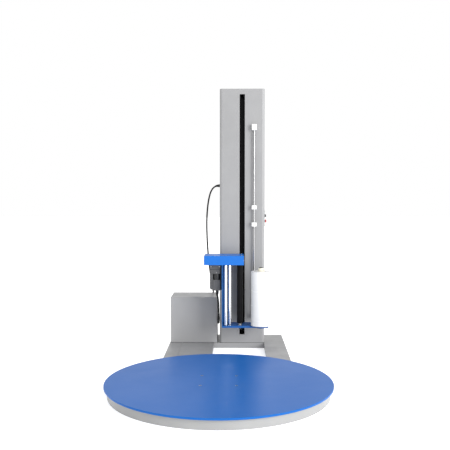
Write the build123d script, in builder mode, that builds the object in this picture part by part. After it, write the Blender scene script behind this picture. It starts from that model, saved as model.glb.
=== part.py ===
from build123d import *
import os
from math import acos, atan2, cos, degrees, hypot, pi, radians, sin, sqrt, tan

# Turntable pallet wrapper. Millimetres. The origin is on the floor, on the turntable's axis.
# +X is to the right when facing the mast, +Y runs from the turntable to the mast, +Z is up.

# ---------------------------------------------------------------- turntable
table_diameter = 1650.0
table_top = 82.0
table_thickness = 14.0
table_chamfer = 1.5
table_overhang = 25.0
skirt_gap = 6.0
skirt_wall = 3.0
base_plate_thickness = 6.0
chain_window_width = 200.0

screw_square = 257.0
screw_head_diameter = 24.0
screw_shank_diameter = 12.0
screw_head_depth = 6.0
screw_socket = 12.0
screw_socket_depth = 4.0

hub_flange_diameter = 420.0
hub_flange_thickness = 8.0
hub_sleeve_diameter = 130.0
post_diameter = 60.0
post_shoulder_diameter = 76.0
post_shoulder_height = 8.0
post_flange_diameter = 180.0
post_flange_thickness = 6.0
bearing_diameter = 96.0
bearing_height = 24.0

wheel_count = 4
wheel_inset = 160.0
wheel_diameter = 50.0
wheel_width = 22.0
wheel_axle_diameter = 12.0
wheel_cheek_thickness = 4.0
wheel_cheek_width = 44.0
wheel_foot_width = 70.0
wheel_foot_thickness = 4.0

# ---------------------------------------------------------------- turntable drive
chain_pitch = 12.7
table_sprocket_teeth = 54
drive_sprocket_teeth = 20
sprocket_thickness = 10.0
sprocket_height = 30.0
tooth_rise = 3.5
chain_width = 16.0
chain_thickness = 6.0
drive_x = -338.0
drive_y = 1560.0
drive_shaft_diameter = 30.0
gearbox_width = 132.0
gearbox_top = 190.0
drive_motor_top = 430.0
drive_motor_diameter = 128.0
drive_motor_flange = 150.0
motor_flange_thickness = 12.0
cooling_fins = 24
fin_depth = 12.0
fin_thickness = 3.0

# ---------------------------------------------------------------- floor frame
frame_height = 50.0
frame_wall = 4.0
frame_front = 1411.0
frame_rear = 1790.0
left_leg_outer = -491.0
left_leg_inner = -78.0
right_leg_width = 193.0
mast_overlap = 2.5
chain_cover_left = -376.0
chain_cover_margin = 16.0
chain_cover_inset = 80.0
chain_cover_rear = 1395.0
chain_cover_thickness = 2.0
chain_cover_ledge = 12.0
seam_gap = 1.5

# ---------------------------------------------------------------- drive box
box_left = -485.0
box_right = -46.0
box_rear = 1748.0
box_top = 482.0
box_wall = 2.0
box_edge_radius = 4.0

# ---------------------------------------------------------------- mast
mast_width = 420.0
mast_centre = 189.5
mast_height = 2437.0
mast_wall = 5.0
mast_corner_radius = 24.0
cap_thickness = 6.0
slot_width = 49.0
slot_bottom = 130.0
slot_top_margin = 51.0
rear_cover_thickness = 3.0
rear_cover_margin = 26.0
foot_thickness = 8.0
foot_depth = 30.0
access_margin = 50.0
cover_screw_diameter = 12.0
cover_screw_head = 4.0
cover_screw_rows = 6
box_screw_diameter = 11.0

rail_web = 5.0
rail_flange = 7.7
rail_depth = 34.0
rail_bottom = 140.0
rail_top_margin = 37.0

# ---------------------------------------------------------------- lift
lift_axis_y = 1485.0
lift_pulley_radius = 44.0
lift_pulley_width = 38.0
lift_low_axis = 190.0
lift_high_margin = 107.0
lift_shaft_diameter = 20.0
lift_box_left = 60.0
lift_box_right = 150.0
lift_box_top = 262.0
lift_box_front_reach = 38.0
lift_box_rear_reach = 45.0
lift_motor_x = 105.0
lift_motor_diameter = 104.0
lift_motor_flange = 120.0
lift_motor_rear_margin = 60.0
idler_cheek_thickness = 8.0
idler_cheek_width = 60.0
belt_thickness = 3.0
belt_width = 34.0
belt_centre = 195.0

# ---------------------------------------------------------------- trolley and arm
trolley_bottom = 290.0
trolley_top = 790.0
trolley_front = 1452.0
trolley_thickness = 12.0
trolley_side_gap = 100.5
trolley_block_width = 20.0
trolley_block_height = 40.0
belt_clamp_bottom = 500.0
belt_clamp_height = 60.0
guide_axis_y = 1490.0
guide_wheel_diameter = 50.0
guide_wheel_width = 16.0
guide_axle_diameter = 20.0
guide_low_height = 340.0
guide_high_height = 740.0
arm_left = 166.5
arm_thickness = 9.0
arm_flange_reach = 22.0
arm_flange_thickness = 8.0
arm_overlap = 60.0

# ---------------------------------------------------------------- film carriage
carriage_front = 1105.0
head_reach = 113.5
head_right = 201.0
head_rear = 1371.0
head_bottom = 814.5
head_top = 897.0
head_wall = 2.0
head_plate_thickness = 8.0
floor_left = 3.5
floor_right = 422.0
floor_rear = 1300.0
floor_top = 268.0
floor_sheet = 4.0
floor_lip = 17.0
spindle_lobe_radius = 45.0
side_thickness = 4.0
side_fold = 24.0

front_roller_x = 39.0
gear_wall_gap = 2.0
front_roller_diameter = 26.0
rear_roller_x = 72.5
rear_roller_diameter = 31.0
guide_roller_x = 166.5
guide_roller_y = 1161.0
guide_roller_diameter = 54.0
roller_shaft_diameter = 16.0
roller_end_gap = 5.0
shaft_overrun = 3.0
bearing_rise = 4.0
guide_bearing_rise = 15.0
guide_bearing_diameter = 34.0
front_bearing_diameter = 26.0

gear_module = 2.0
front_gear_teeth = 14
rear_gear_teeth = 50
motor_gear_teeth = 66
gear_width = 15.0
gear_lift = 8.0
gear_side_play = 0.08

motor_block_bottom = 733.0
motor_block_left = 60.5
motor_block_right = 34.5
motor_depth = 80.0
motor_neck_bottom = 678.0
motor_neck_diameter = 66.0
motor_case_bottom = 581.0
motor_case_width = 70.0
motor_case_corner = 9.0
terminal_box_width = 26.0
terminal_box_depth = 60.0
terminal_box_bottom = 590.0
motor_gland_offset = 4.0
motor_gland_length = 24.0

film_x = 354.0
film_y = 1122.0
film_diameter = 180.0
film_width = 488.0
core_diameter = 67.0
core_rise = 8.0
spindle_diameter = 47.0
spindle_bore = 34.0
spindle_rise = 29.0
spindle_flange_diameter = 84.0
spindle_flange_thickness = 3.0

# ---------------------------------------------------------------- stop rod
stop_rod_side_margin = 99.0
stop_rod_y = 1386.0
stop_rod_diameter = 16.0
stop_rod_bottom = 300.0
stop_rod_rise = 34.0
bracket_floor = 5.0
bracket_reach = 20.0
clamp_screw_diameter = 10.0
bracket_width = 45.0
top_bracket_margin = 387.0
top_bracket_height = 52.0
low_bracket_height = 40.0
clamp_height = 36.5
upper_clamp_bottom = 1312.0
lower_clamp_bottom = 1152.0
clamp_face_gap = 2.0

# ---------------------------------------------------------------- controls
control_y = 1500.0
control_plate_width = 110.0
control_plate_bottom = 1150.0
control_plate_top = 1300.0
control_plate_thickness = 3.0
stop_button_height = 1200.0
stop_button_diameter = 35.0
stop_button_travel = 4.0
selector_height = 1250.0
selector_diameter = 28.0
control_collar_diameter = 26.0
control_collar_rise = 5.0
control_stem_diameter = 16.0
stop_button_head = 10.0

# ---------------------------------------------------------------- festoon cable
cable_diameter = 15.0
cable_gland_y = 1770.0
cable_gland_height = 1543.0
gland_diameter = 28.0
gland_length = 22.0

# ---------------------------------------------------------------- clearances
running = 0.05
free = 0.3
loose = 1.5

# ---------------------------------------------------------------- worked out
plate_bottom = table_top - table_thickness
skirt_top = plate_bottom - skirt_gap
skirt_radius = table_diameter / 2 - table_overhang
skirt_diameter = 2 * skirt_radius
wheel_ring_radius = skirt_radius - wheel_inset
mast_left = mast_centre - mast_width / 2
mast_right = mast_centre + mast_width / 2
right_leg_inner = mast_right - mast_overlap
right_leg_outer = right_leg_inner + right_leg_width
chain_cover_front = skirt_radius + chain_cover_inset
chain_cover_right = left_leg_inner - chain_cover_margin
slot_top = mast_height - slot_top_margin
rail_top = mast_height - rail_top_margin
lift_high_axis = mast_height - lift_high_margin
top_bracket_bottom = mast_height - top_bracket_margin
stop_rod_top = top_bracket_bottom + stop_rod_rise
stop_rod_x = mast_right - stop_rod_side_margin
trolley_half_width = mast_width / 2 - trolley_side_gap
slot_left = mast_centre - slot_width / 2
slot_right = mast_centre + slot_width / 2
mast_front = frame_front
mast_rear = frame_rear
cap_bottom = mast_height - cap_thickness
gear_bottom = head_bottom + head_plate_thickness + gear_lift
front_gear_tip = gear_module * (front_gear_teeth + 2) / 2
front_roller_y = carriage_front + head_wall + gear_wall_gap + front_gear_tip
rear_roller_y = front_roller_y + sqrt(
    (gear_module * (front_gear_teeth + rear_gear_teeth) / 2) ** 2
    - (rear_roller_x - front_roller_x) ** 2
)
carriage_motor_x = rear_roller_x - gear_module * (rear_gear_teeth + motor_gear_teeth) / 2
carriage_motor_y = rear_roller_y
head_left = carriage_motor_x - head_reach
film_bottom = floor_top + spindle_flange_thickness
film_top = film_bottom + film_width
control_face = mast_right + control_plate_thickness

os.makedirs("parts", exist_ok=True)


def save(piece, name):
    """Label a finished piece and write it to its own STEP file."""
    piece.part.label = name
    export_step(piece.part, "parts/" + name + ".step")


def block(x_span, y_span, z_span, mode=Mode.ADD):
    """A box between two X, two Y and two Z values, in the current part."""
    centre = [(low + high) / 2 for low, high in (x_span, y_span, z_span)]
    with Locations(tuple(centre)):
        Box(
            x_span[1] - x_span[0],
            y_span[1] - y_span[0],
            z_span[1] - z_span[0],
            mode=mode,
        )


def upright(x, y, z_span, diameter, mode=Mode.ADD):
    """A cylinder along Z between two heights, in the current part."""
    with Locations((x, y, (z_span[0] + z_span[1]) / 2)):
        Cylinder(diameter / 2, z_span[1] - z_span[0], mode=mode)


def along_x(x_span, y, z, diameter, mode=Mode.ADD):
    """A cylinder along X between two X values, in the current part."""
    with Locations(((x_span[0] + x_span[1]) / 2, y, z)):
        Cylinder(diameter / 2, x_span[1] - x_span[0], rotation=(0, 90, 0), mode=mode)


def along_y(x, y_span, z, diameter, mode=Mode.ADD):
    """A cylinder along Y between two Y values, in the current part."""
    with Locations((x, (y_span[0] + y_span[1]) / 2, z)):
        Cylinder(diameter / 2, y_span[1] - y_span[0], rotation=(90, 0, 0), mode=mode)


def toothed_outline(teeth, root, tip, root_share, tip_share, phase):
    """Corners of a toothed wheel; the shares are tooth widths as parts of the tooth spacing."""
    step = 2 * pi / teeth
    corners = []
    for tooth in range(teeth):
        middle = radians(phase) + tooth * step
        for radius, share in (
            (root, -root_share),
            (tip, -tip_share),
            (tip, tip_share),
            (root, root_share),
        ):
            turn = middle + share * step / 2
            corners.append((radius * cos(turn), radius * sin(turn)))
    return corners


def toothed_disc(x, y, z_span, corners):
    """A toothed disc standing on a plane at the lower height, in the current part."""
    with BuildSketch(Plane((x, y, z_span[0]))) as outline:
        with BuildLine():
            Polyline(*corners, close=True)
        make_face()
    extrude(outline.sketch, amount=z_span[1] - z_span[0])


def sprocket_corners(teeth):
    """Outline of a chain wheel."""
    pitch_radius = chain_pitch / 2 / sin(pi / teeth)
    return toothed_outline(teeth, pitch_radius - tooth_rise, pitch_radius + tooth_rise, 0.62, 0.3, 0)


def gear_corners(teeth, phase):
    """Outline of a spur gear with straight-sided teeth and backlash."""
    pitch_radius = gear_module * teeth / 2
    play = gear_side_play
    return toothed_outline(
        teeth,
        pitch_radius - 1.25 * gear_module,
        pitch_radius + 0.9 * gear_module,
        0.74 - play,
        0.3 - play,
        phase,
    )


# ================================================================ turntable base
with BuildPart() as base_plate:
    upright(0, 0, (0, base_plate_thickness), skirt_diameter - 2 * skirt_wall)
save(base_plate, "base_plate")

chain_mid_x = drive_x / hypot(drive_x, drive_y) * skirt_radius
with BuildPart() as base_skirt:
    upright(0, 0, (0, skirt_top), skirt_diameter)
    upright(0, 0, (-1, skirt_top + 1), skirt_diameter - 2 * skirt_wall, Mode.SUBTRACT)
    block(
        (chain_mid_x - chain_window_width / 2, chain_mid_x + chain_window_width / 2),
        (skirt_radius / 2, skirt_radius),
        (sprocket_height - chain_width, sprocket_height + chain_width),
        Mode.SUBTRACT,
    )
save(base_skirt, "base_skirt")

post_flange_top = base_plate_thickness + post_flange_thickness
bearing_bottom = post_flange_top + post_shoulder_height
bearing_top = bearing_bottom + bearing_height
with BuildPart() as centre_post:
    upright(0, 0, (base_plate_thickness, post_flange_top), post_flange_diameter)
    upright(0, 0, (post_flange_top, bearing_bottom), post_shoulder_diameter)
    upright(0, 0, (bearing_bottom, bearing_top + 4), post_diameter)
    chamfer(centre_post.edges().sort_by(Axis.Z)[-1], 2)
save(centre_post, "centre_post")

with BuildPart() as centre_bearing:
    upright(0, 0, (bearing_bottom, bearing_top), bearing_diameter)
    upright(0, 0, (bearing_bottom, bearing_top), post_diameter, Mode.SUBTRACT)
save(centre_bearing, "centre_bearing")

wheel_axle_height = plate_bottom - free - wheel_diameter / 2
cheek_inner = wheel_width / 2 + loose
cheek_outer = cheek_inner + wheel_cheek_thickness
wheel_angles = [45 + 360 / wheel_count * n for n in range(wheel_count)]


def radial_plane(angle):
    """A plane at a support wheel's centre whose Z runs outwards along its axle."""
    place = (
        wheel_ring_radius * cos(radians(angle)),
        wheel_ring_radius * sin(radians(angle)),
        wheel_axle_height,
    )
    outwards = (cos(radians(angle)), sin(radians(angle)), 0)
    sideways = (-sin(radians(angle)), cos(radians(angle)), 0)
    return Plane(origin=place, x_dir=sideways, z_dir=outwards)


cheek_bottom = base_plate_thickness - wheel_axle_height
with BuildPart() as wheel_brackets:
    for angle in wheel_angles:
        for start in (-cheek_outer, cheek_inner):
            with BuildSketch(radial_plane(angle).offset(start)) as cheek:
                with Locations((0, (cheek_bottom + wheel_axle_diameter) / 2)):
                    Rectangle(wheel_cheek_width, wheel_axle_diameter - cheek_bottom)
            extrude(amount=wheel_cheek_thickness)
        axle_end = cheek_outer + wheel_cheek_thickness
        with BuildSketch(radial_plane(angle).offset(-axle_end)) as axle:
            Circle(wheel_axle_diameter / 2)
        extrude(amount=2 * axle_end)
        with BuildSketch(radial_plane(angle).offset(-cheek_outer)) as foot:
            with Locations((0, cheek_bottom + wheel_foot_thickness / 2)):
                Rectangle(wheel_foot_width, wheel_foot_thickness)
        extrude(amount=2 * cheek_outer)
save(wheel_brackets, "wheel_brackets")

for number, angle in enumerate(wheel_angles):
    with BuildPart() as support_wheel:
        with BuildSketch(radial_plane(angle).offset(-wheel_width / 2)) as tread:
            Circle(wheel_diameter / 2)
            Circle(wheel_axle_diameter / 2 + running, mode=Mode.SUBTRACT)
        extrude(amount=wheel_width)
        chamfer(support_wheel.edges().filter_by(GeomType.CIRCLE).group_by(SortBy.LENGTH)[-1], 1.5)
    save(support_wheel, "support_wheel_" + str(number + 1))

# ================================================================ turntable
screw_offset = screw_square / 2
screw_places = [(x, y) for x in (-screw_offset, screw_offset) for y in (-screw_offset, screw_offset)]
with BuildPart() as turntable_plate:
    upright(0, 0, (plate_bottom, table_top), table_diameter)
    chamfer(turntable_plate.edges(), table_chamfer)
    for x, y in screw_places:
        upright(x, y, (plate_bottom, table_top), screw_shank_diameter, Mode.SUBTRACT)
        upright(x, y, (table_top - screw_head_depth, table_top), screw_head_diameter, Mode.SUBTRACT)
save(turntable_plate, "turntable_plate")

hub_bottom = post_flange_top + 2
flange_bottom = plate_bottom - hub_flange_thickness
with BuildPart() as turntable_hub:
    upright(0, 0, (flange_bottom, plate_bottom), hub_flange_diameter)
    upright(0, 0, (hub_bottom, flange_bottom), hub_sleeve_diameter)
    upright(0, 0, (hub_bottom, bearing_top + free), bearing_diameter + 2 * running, Mode.SUBTRACT)
    upright(0, 0, (bearing_top, bearing_top + 8), post_diameter + 4, Mode.SUBTRACT)
    for x, y in screw_places:
        upright(x, y, (flange_bottom, plate_bottom), screw_shank_diameter, Mode.SUBTRACT)
save(turntable_hub, "turntable_hub")

with BuildPart() as turntable_screws:
    for x, y in screw_places:
        upright(x, y, (flange_bottom - 6, table_top - screw_head_depth), screw_shank_diameter)
        upright(x, y, (table_top - screw_head_depth, table_top - 0.5), screw_head_diameter - 0.6)
        with BuildSketch(Plane((x, y, table_top - 0.5))) as socket:
            RegularPolygon(screw_socket / 2, 6)
        extrude(amount=-screw_socket_depth, mode=Mode.SUBTRACT)
save(turntable_screws, "turntable_screws")

sprocket_span = (sprocket_height - sprocket_thickness / 2, sprocket_height + sprocket_thickness / 2)
with BuildPart() as table_sprocket:
    toothed_disc(0, 0, sprocket_span, sprocket_corners(table_sprocket_teeth))
    upright(0, 0, sprocket_span, hub_sleeve_diameter, Mode.SUBTRACT)
save(table_sprocket, "table_sprocket")

# ================================================================ turntable drive
gearbox_half = gearbox_width / 2
with BuildPart() as drive_sprocket:
    toothed_disc(drive_x, drive_y, sprocket_span, sprocket_corners(drive_sprocket_teeth))
    upright(drive_x, drive_y, (sprocket_span[0] - 6, gearbox_top - 20), drive_shaft_diameter)
save(drive_sprocket, "drive_sprocket")


def belt_outline(centre_a, radius_a, centre_b, radius_b):
    """Two tangent lines and two arcs round two wheels of different size."""
    span = hypot(centre_b[0] - centre_a[0], centre_b[1] - centre_a[1])
    heading = atan2(centre_b[1] - centre_a[1], centre_b[0] - centre_a[0])
    lean = acos((radius_a - radius_b) / span)

    def on_wheel(centre, radius, turn):
        return (centre[0] + radius * cos(turn), centre[1] + radius * sin(turn))

    upper_a = on_wheel(centre_a, radius_a, heading + lean)
    lower_a = on_wheel(centre_a, radius_a, heading - lean)
    upper_b = on_wheel(centre_b, radius_b, heading + lean)
    lower_b = on_wheel(centre_b, radius_b, heading - lean)
    Line(upper_a, upper_b)
    ThreePointArc(upper_b, on_wheel(centre_b, radius_b, heading), lower_b)
    Line(lower_b, lower_a)
    ThreePointArc(lower_a, on_wheel(centre_a, radius_a, heading + pi), upper_a)


table_tip = chain_pitch / 2 / sin(pi / table_sprocket_teeth) + tooth_rise + 0.5
drive_tip = chain_pitch / 2 / sin(pi / drive_sprocket_teeth) + tooth_rise + 0.5
with BuildPart() as drive_chain:
    with BuildSketch(Plane.XY.offset(sprocket_height - chain_width / 2)) as chain_loop:
        with BuildLine():
            belt_outline(
                (0, 0),
                table_tip + chain_thickness,
                (drive_x, drive_y),
                drive_tip + chain_thickness,
            )
        make_face()
        with BuildLine(mode=Mode.PRIVATE) as inner_loop:
            belt_outline((0, 0), table_tip, (drive_x, drive_y), drive_tip)
        make_face(inner_loop.edges(), mode=Mode.SUBTRACT)
    extrude(amount=chain_width)
save(drive_chain, "drive_chain")

fin_ring = drive_motor_diameter / 2 + 2
fin_bottom = gearbox_top + 20
fin_top = drive_motor_top - 50
with BuildPart() as drive_gearmotor:
    block(
        (drive_x - gearbox_half, drive_x + gearbox_half),
        (drive_y - gearbox_half, drive_y + gearbox_half),
        (frame_height, gearbox_top),
    )
    fillet(drive_gearmotor.edges().filter_by(Axis.Z), 12)
    upright(drive_x, drive_y, (gearbox_top, gearbox_top + motor_flange_thickness), drive_motor_flange)
    upright(drive_x, drive_y, (gearbox_top + motor_flange_thickness, drive_motor_top), drive_motor_diameter)
    for number in range(cooling_fins):
        turn = 2 * pi / cooling_fins * number
        foot = (drive_x + fin_ring * cos(turn), drive_y + fin_ring * sin(turn))
        with BuildSketch(Plane.XY.offset(fin_bottom)) as fin:
            with Locations(Location(foot, degrees(turn))):
                Rectangle(fin_depth, fin_thickness)
        extrude(amount=fin_top - fin_bottom)
    block((drive_x + 50, drive_x + 96), (drive_y - 40, drive_y + 40), (fin_bottom + 40, fin_bottom + 130))
    upright(
        drive_x,
        drive_y,
        (frame_height, gearbox_top - 19),
        drive_shaft_diameter + 2 * running,
        Mode.SUBTRACT,
    )
save(drive_gearmotor, "drive_gearmotor")

# ================================================================ floor frame


def leg_shell(x_span, wall_front):
    """A hollow leg, open below, whose front end is cut to the skirt's curve."""
    block(x_span, (wall_front, frame_rear), (0, frame_height))
    block(
        (x_span[0] + frame_wall, x_span[1] - frame_wall),
        (0, frame_rear - frame_wall),
        (-1, frame_height - frame_wall),
        Mode.SUBTRACT,
    )
    upright(0, 0, (-1, frame_height + 1), skirt_diameter, Mode.SUBTRACT)


leg_start = skirt_radius * 0.55
with BuildPart() as left_leg:
    leg_shell((left_leg_outer, left_leg_inner), leg_start)
    block(
        (chain_cover_left, chain_cover_right),
        (chain_cover_front, chain_cover_rear),
        (frame_height - chain_cover_thickness, frame_height + 1),
        Mode.SUBTRACT,
    )
    block(
        (chain_cover_left + chain_cover_ledge, chain_cover_right - chain_cover_ledge),
        (chain_cover_front + chain_cover_ledge, chain_cover_rear - chain_cover_ledge),
        (frame_height - frame_wall - 1, frame_height + 1),
        Mode.SUBTRACT,
    )
    upright(drive_x, drive_y, (0, frame_height + 1), drive_shaft_diameter + 20, Mode.SUBTRACT)
save(left_leg, "left_leg")

with BuildPart() as chain_cover:
    block(
        (chain_cover_left + seam_gap, chain_cover_right - seam_gap),
        (chain_cover_front + seam_gap, chain_cover_rear - seam_gap),
        (frame_height - chain_cover_thickness, frame_height),
    )
save(chain_cover, "chain_cover")

with BuildPart() as right_leg:
    leg_shell((right_leg_inner, right_leg_outer), leg_start)
save(right_leg, "right_leg")

with BuildPart() as crossbar:
    block((left_leg_inner, right_leg_inner), (frame_front, frame_rear), (0, frame_height))
    block(
        (left_leg_inner - 1, right_leg_inner + 1),
        (frame_front + frame_wall, frame_rear - frame_wall),
        (-1, frame_height - frame_wall),
        Mode.SUBTRACT,
    )
save(crossbar, "crossbar")

# ================================================================ drive box
with BuildPart() as drive_box_cover:
    block((box_left, box_right), (frame_front, box_rear), (frame_height, box_top))
    fillet(drive_box_cover.edges().filter_by(Axis.Z), box_edge_radius)
    fillet(drive_box_cover.faces().sort_by(Axis.Z)[-1].edges(), box_edge_radius - 1)
    block(
        (box_left + box_wall, box_right - box_wall),
        (frame_front + box_wall, box_rear - box_wall),
        (frame_height - 1, box_top - box_wall),
        Mode.SUBTRACT,
    )
save(drive_box_cover, "drive_box_cover")

# ================================================================ mast
with BuildPart() as mast_column:
    with BuildSketch(Plane.XY.offset(frame_height)) as mast_ring:
        with Locations((mast_centre, (mast_front + mast_rear) / 2)):
            RectangleRounded(mast_width, mast_rear - mast_front, mast_corner_radius)
            RectangleRounded(
                mast_width - 2 * mast_wall,
                mast_rear - mast_front - 2 * mast_wall,
                mast_corner_radius - mast_wall,
                mode=Mode.SUBTRACT,
            )
    extrude(amount=cap_bottom - frame_height)
    block(
        (slot_left, slot_right),
        (mast_front - 1, mast_front + mast_wall + 1),
        (slot_bottom, slot_top),
        Mode.SUBTRACT,
    )
    block(
        (mast_left + access_margin, mast_right - access_margin),
        (mast_rear - mast_wall - 1, mast_rear + 1),
        (frame_height + access_margin, cap_bottom - access_margin),
        Mode.SUBTRACT,
    )
    block(
        (mast_left + mast_corner_radius, mast_right - mast_corner_radius),
        (mast_front + mast_wall, mast_front + mast_wall + foot_depth),
        (frame_height, frame_height + foot_thickness),
    )
save(mast_column, "mast_column")

rear_plane = Plane(origin=(mast_centre, mast_rear, 0), x_dir=(-1, 0, 0), z_dir=(0, 1, 0))
with BuildPart() as mast_rear_cover:
    with BuildSketch(rear_plane) as rear_sheet:
        with Locations((0, (frame_height + cap_bottom) / 2)):
            RectangleRounded(
                mast_width - 2 * rear_cover_margin,
                cap_bottom - frame_height - rear_cover_margin,
                6,
            )
    extrude(amount=rear_cover_thickness)
save(mast_rear_cover, "mast_rear_cover")

with BuildPart() as mast_cap:
    with BuildSketch(Plane.XY.offset(cap_bottom)) as cap_outline:
        with Locations((mast_centre, (mast_front + mast_rear) / 2)):
            RectangleRounded(mast_width, mast_rear - mast_front, mast_corner_radius)
    extrude(amount=cap_thickness)
    fillet(mast_cap.faces().sort_by(Axis.Z)[-1].edges(), cap_thickness - 2)
save(mast_cap, "mast_cap")

guide_half_gap = guide_wheel_diameter / 2 + free
with BuildPart() as guide_rails:
    for side in (-1, 1):
        wall = mast_centre + side * (mast_width / 2 - mast_wall)
        web = sorted((wall, wall - side * rail_web))
        flange = sorted((wall, wall - side * rail_depth))
        outer_half = guide_half_gap + rail_flange
        block(web, (guide_axis_y - outer_half, guide_axis_y + outer_half), (rail_bottom, rail_top))
        for near in (guide_axis_y - outer_half, guide_axis_y + guide_half_gap):
            block(flange, (near, near + rail_flange), (rail_bottom, rail_top))
save(guide_rails, "guide_rails")

cover_face = mast_rear + rear_cover_thickness
lowest_screw = frame_height + 60
screw_spacing = (cap_bottom - 60 - lowest_screw) / (cover_screw_rows - 1)
with BuildPart() as cover_screws:
    for x in (mast_left + rear_cover_margin + 10, mast_right - rear_cover_margin - 10):
        for number in range(cover_screw_rows):
            z = lowest_screw + number * screw_spacing
            along_y(x, (cover_face, cover_face + cover_screw_head), z, cover_screw_diameter)
    for y in (frame_front + 60, box_rear - 60):
        for z in (frame_height + 25, box_top - 40):
            along_x((box_left - cover_screw_head + 0.5, box_left), y, z, box_screw_diameter)
    fillet(cover_screws.edges().filter_by(GeomType.CIRCLE).group_by(Axis.Y)[-1], 1.5)
save(cover_screws, "cover_screws")

# ================================================================ lift
pulley_span = (belt_centre - lift_pulley_width / 2, belt_centre + lift_pulley_width / 2)
with BuildPart() as lift_drive_pulley:
    along_x(pulley_span, lift_axis_y, lift_low_axis, 2 * lift_pulley_radius)
    along_x((lift_box_right - 60, pulley_span[1] + 6), lift_axis_y, lift_low_axis, lift_shaft_diameter)
save(lift_drive_pulley, "lift_drive_pulley")

with BuildPart() as lift_idler_pulley:
    along_x(pulley_span, lift_axis_y, lift_high_axis, 2 * lift_pulley_radius)
    along_x((pulley_span[0] - 16, pulley_span[1] + 16), lift_axis_y, lift_high_axis, lift_shaft_diameter)
save(lift_idler_pulley, "lift_idler_pulley")

idler_reach = (lift_axis_y - idler_cheek_width / 2, lift_axis_y + idler_cheek_width / 2)
idler_cheeks = (pulley_span[0] - idler_cheek_thickness - 3, pulley_span[1] + 3)
with BuildPart() as idler_bracket:
    for inner in idler_cheeks:
        block((inner, inner + idler_cheek_thickness), idler_reach, (lift_high_axis - 26, cap_bottom))
        along_x(
            (inner, inner + idler_cheek_thickness),
            lift_axis_y,
            lift_high_axis,
            lift_shaft_diameter + 2 * running,
            Mode.SUBTRACT,
        )
    block(
        (idler_cheeks[0], idler_cheeks[1] + idler_cheek_thickness),
        idler_reach,
        (cap_bottom - idler_cheek_thickness, cap_bottom),
    )
save(idler_bracket, "idler_bracket")

belt_inner = lift_pulley_radius + 0.5
belt_outer = belt_inner + belt_thickness
belt_plane = Plane(origin=(belt_centre - belt_width / 2, 0, 0), x_dir=(0, 1, 0), z_dir=(1, 0, 0))
with BuildPart() as lift_belt:
    with BuildSketch(belt_plane) as loop:
        with Locations(Location((lift_axis_y, (lift_low_axis + lift_high_axis) / 2), 90)):
            SlotCenterToCenter(lift_high_axis - lift_low_axis, 2 * belt_outer)
            SlotCenterToCenter(lift_high_axis - lift_low_axis, 2 * belt_inner, mode=Mode.SUBTRACT)
    extrude(amount=belt_width)
save(lift_belt, "lift_belt")

lift_box_rear = lift_axis_y + lift_box_rear_reach
lift_flange_rear = lift_box_rear + 15
with BuildPart() as lift_gearmotor:
    block(
        (lift_box_left, lift_box_right),
        (lift_axis_y - lift_box_front_reach, lift_box_rear),
        (frame_height, lift_box_top),
    )
    fillet(lift_gearmotor.edges().filter_by(Axis.X), 8)
    along_y(lift_motor_x, (lift_box_rear, lift_flange_rear), lift_low_axis, lift_motor_flange)
    along_y(
        lift_motor_x,
        (lift_flange_rear, mast_rear - lift_motor_rear_margin),
        lift_low_axis,
        lift_motor_diameter,
    )
    along_x(
        (lift_box_right - 61, lift_box_right + 1),
        lift_axis_y,
        lift_low_axis,
        lift_shaft_diameter + 2 * running,
        Mode.SUBTRACT,
    )
save(lift_gearmotor, "lift_gearmotor")

# ================================================================ trolley and arm
belt_front = lift_axis_y - belt_outer
trolley_span = (mast_centre - trolley_half_width, mast_centre + trolley_half_width)
trolley_back = trolley_front + trolley_thickness
clamp_left = arm_left + arm_thickness + 1
with BuildPart() as trolley:
    block(trolley_span, (trolley_front, trolley_back), (trolley_bottom, trolley_top))
    for height in (guide_low_height, guide_high_height):
        for left in (trolley_span[0] + 5, trolley_span[1] - trolley_block_width - 5):
            block(
                (left, left + trolley_block_width),
                (trolley_back, guide_axis_y + trolley_block_height / 2),
                (height - trolley_block_height / 2, height + trolley_block_height / 2),
            )
            along_x(
                (left, left + trolley_block_width),
                guide_axis_y,
                height,
                guide_axle_diameter + 2 * running,
                Mode.SUBTRACT,
            )
    block(
        (clamp_left, belt_centre + belt_width / 2 + 10),
        (belt_front - 10, trolley_front),
        (belt_clamp_bottom, belt_clamp_bottom + belt_clamp_height),
    )
    block(
        (clamp_left, belt_centre + belt_width / 2 + 1),
        (belt_front - 0.5, belt_front + belt_thickness + 0.5),
        (belt_clamp_bottom - 1, belt_clamp_bottom + belt_clamp_height + 1),
        Mode.SUBTRACT,
    )
save(trolley, "trolley")

wheel_reach = mast_width / 2 - mast_wall - rail_web - 2
axle_span = (mast_centre - wheel_reach, mast_centre + wheel_reach)
for name, height in (("lower_wheel_set", guide_low_height), ("upper_wheel_set", guide_high_height)):
    with BuildPart() as wheel_set:
        along_x(axle_span, guide_axis_y, height, guide_axle_diameter)
        for ends in (
            (axle_span[0], axle_span[0] + guide_wheel_width),
            (axle_span[1] - guide_wheel_width, axle_span[1]),
        ):
            along_x(ends, guide_axis_y, height, guide_wheel_diameter)
    save(wheel_set, name)

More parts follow.
